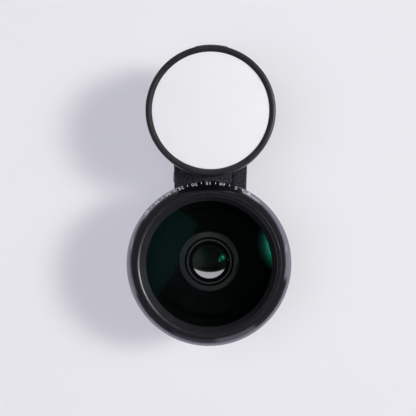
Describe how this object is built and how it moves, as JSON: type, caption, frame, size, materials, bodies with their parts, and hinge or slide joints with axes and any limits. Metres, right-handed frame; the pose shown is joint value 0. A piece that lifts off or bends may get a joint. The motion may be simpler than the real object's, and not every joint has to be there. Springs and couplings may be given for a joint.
{
  "type": "clip-on smartphone lens",
  "caption": "Clothes-peg phone clip with a screw-in wide-angle and macro lens on its jaw and a round rechargeable fill lamp on its handle.",
  "frame": {"origin": "where the lens's optical axis meets the rear arm's flat outer face, on which the object lies", "axes": "+Z along the optical axis, out of the front glass; +Y from the lens to the lamp; +X to the right seen from the front"},
  "size_m": [0.0502, 0.092, 0.035],
  "materials": {
    "clip_plastic": "spark-textured black ABS with smooth rails",
    "pad_silicone": "matt black silicone rubber",
    "pin_steel": "drawn steel",
    "spring_steel": "nickel-plated spring wire",
    "bush_aluminium": "black anodised, turned",
    "barrel_aluminium": "black anodised, satin",
    "ring_aluminium": "black anodised, fine turned",
    "lens_glass": "polished optical glass with a green anti-reflection coating",
    "lamp_plastic": "satin black moulded ABS",
    "opal_acrylic": "matt opal white",
    "board_laminate": "white solder mask",
    "led_phosphor": "yellow phosphor in a white case",
    "chip_epoxy": "moulded epoxy",
    "screw_steel": "bright zinc plate",
    "battery_foil": "silver laminate pouch",
    "foam_tape": "white foam",
    "lead_insulation": "soft insulation",
    "socket_steel": "stamped and plated steel",
    "plunger_plastic": "moulded nylon",
    "key_plastic": "satin black moulded ABS"
  },
  "bodies": {
    "rear_arm": {"rear_arm": "clip_plastic", "rear_jaw_pad": "pad_silicone", "hinge_pin": "pin_steel", "torsion_spring": "spring_steel"},
    "front_arm": {"front_arm": "clip_plastic", "front_jaw_pad": "pad_silicone", "clip_bush": "bush_aluminium", "lamp_housing": "lamp_plastic", "lamp_bezel": "lamp_plastic", "diffuser": "opal_acrylic", "led_board": "board_laminate", "leds": "led_phosphor", "board_parts": "chip_epoxy", "board_screws": "screw_steel", "housing_screws": "screw_steel", "battery": "battery_foil", "battery_tape": "foam_tape", "battery_leads": "lead_insulation", "usb_socket": "socket_steel", "tact_switch": "chip_epoxy"},
    "macro_lens": {"macro_barrel": "barrel_aluminium", "macro_element": "lens_glass", "macro_retaining_ring": "ring_aluminium"},
    "wide_lens": {"wide_barrel": "barrel_aluminium", "front_element": "lens_glass", "front_retaining_ring": "ring_aluminium"},
    "power_key": {"power_key": "key_plastic", "switch_plunger": "plunger_plastic"}
  },
  "joints": [
    {"name": "jaw", "type": "hinge", "parent": "rear_arm", "child": "front_arm", "pos_m": [0, 0.027, 0.0076], "axis": [-1, 0, 0], "range_deg": [0, 22], "stiffness_Nm_per_rad": 0.16, "springref_deg": -22.92, "deforming": ["torsion_spring"]},
    {"name": "macro_unscrew", "type": "hinge", "parent": "front_arm", "child": "macro_lens", "pos_m": [0, 0, 0.0088], "axis": [0, 0, 1], "range_deg": [0, 1080]},
    {"name": "wide_unscrew", "type": "hinge", "parent": "macro_lens", "child": "wide_lens", "pos_m": [0, 0, 0.016], "axis": [0, 0, 1], "range_deg": [0, 1080]},
    {"name": "key_press", "type": "slide", "parent": "front_arm", "child": "power_key", "axis": [0, -1, 0], "range_m": [0, 0.00035], "stiffness_N_per_m": 3500}
  ]
}
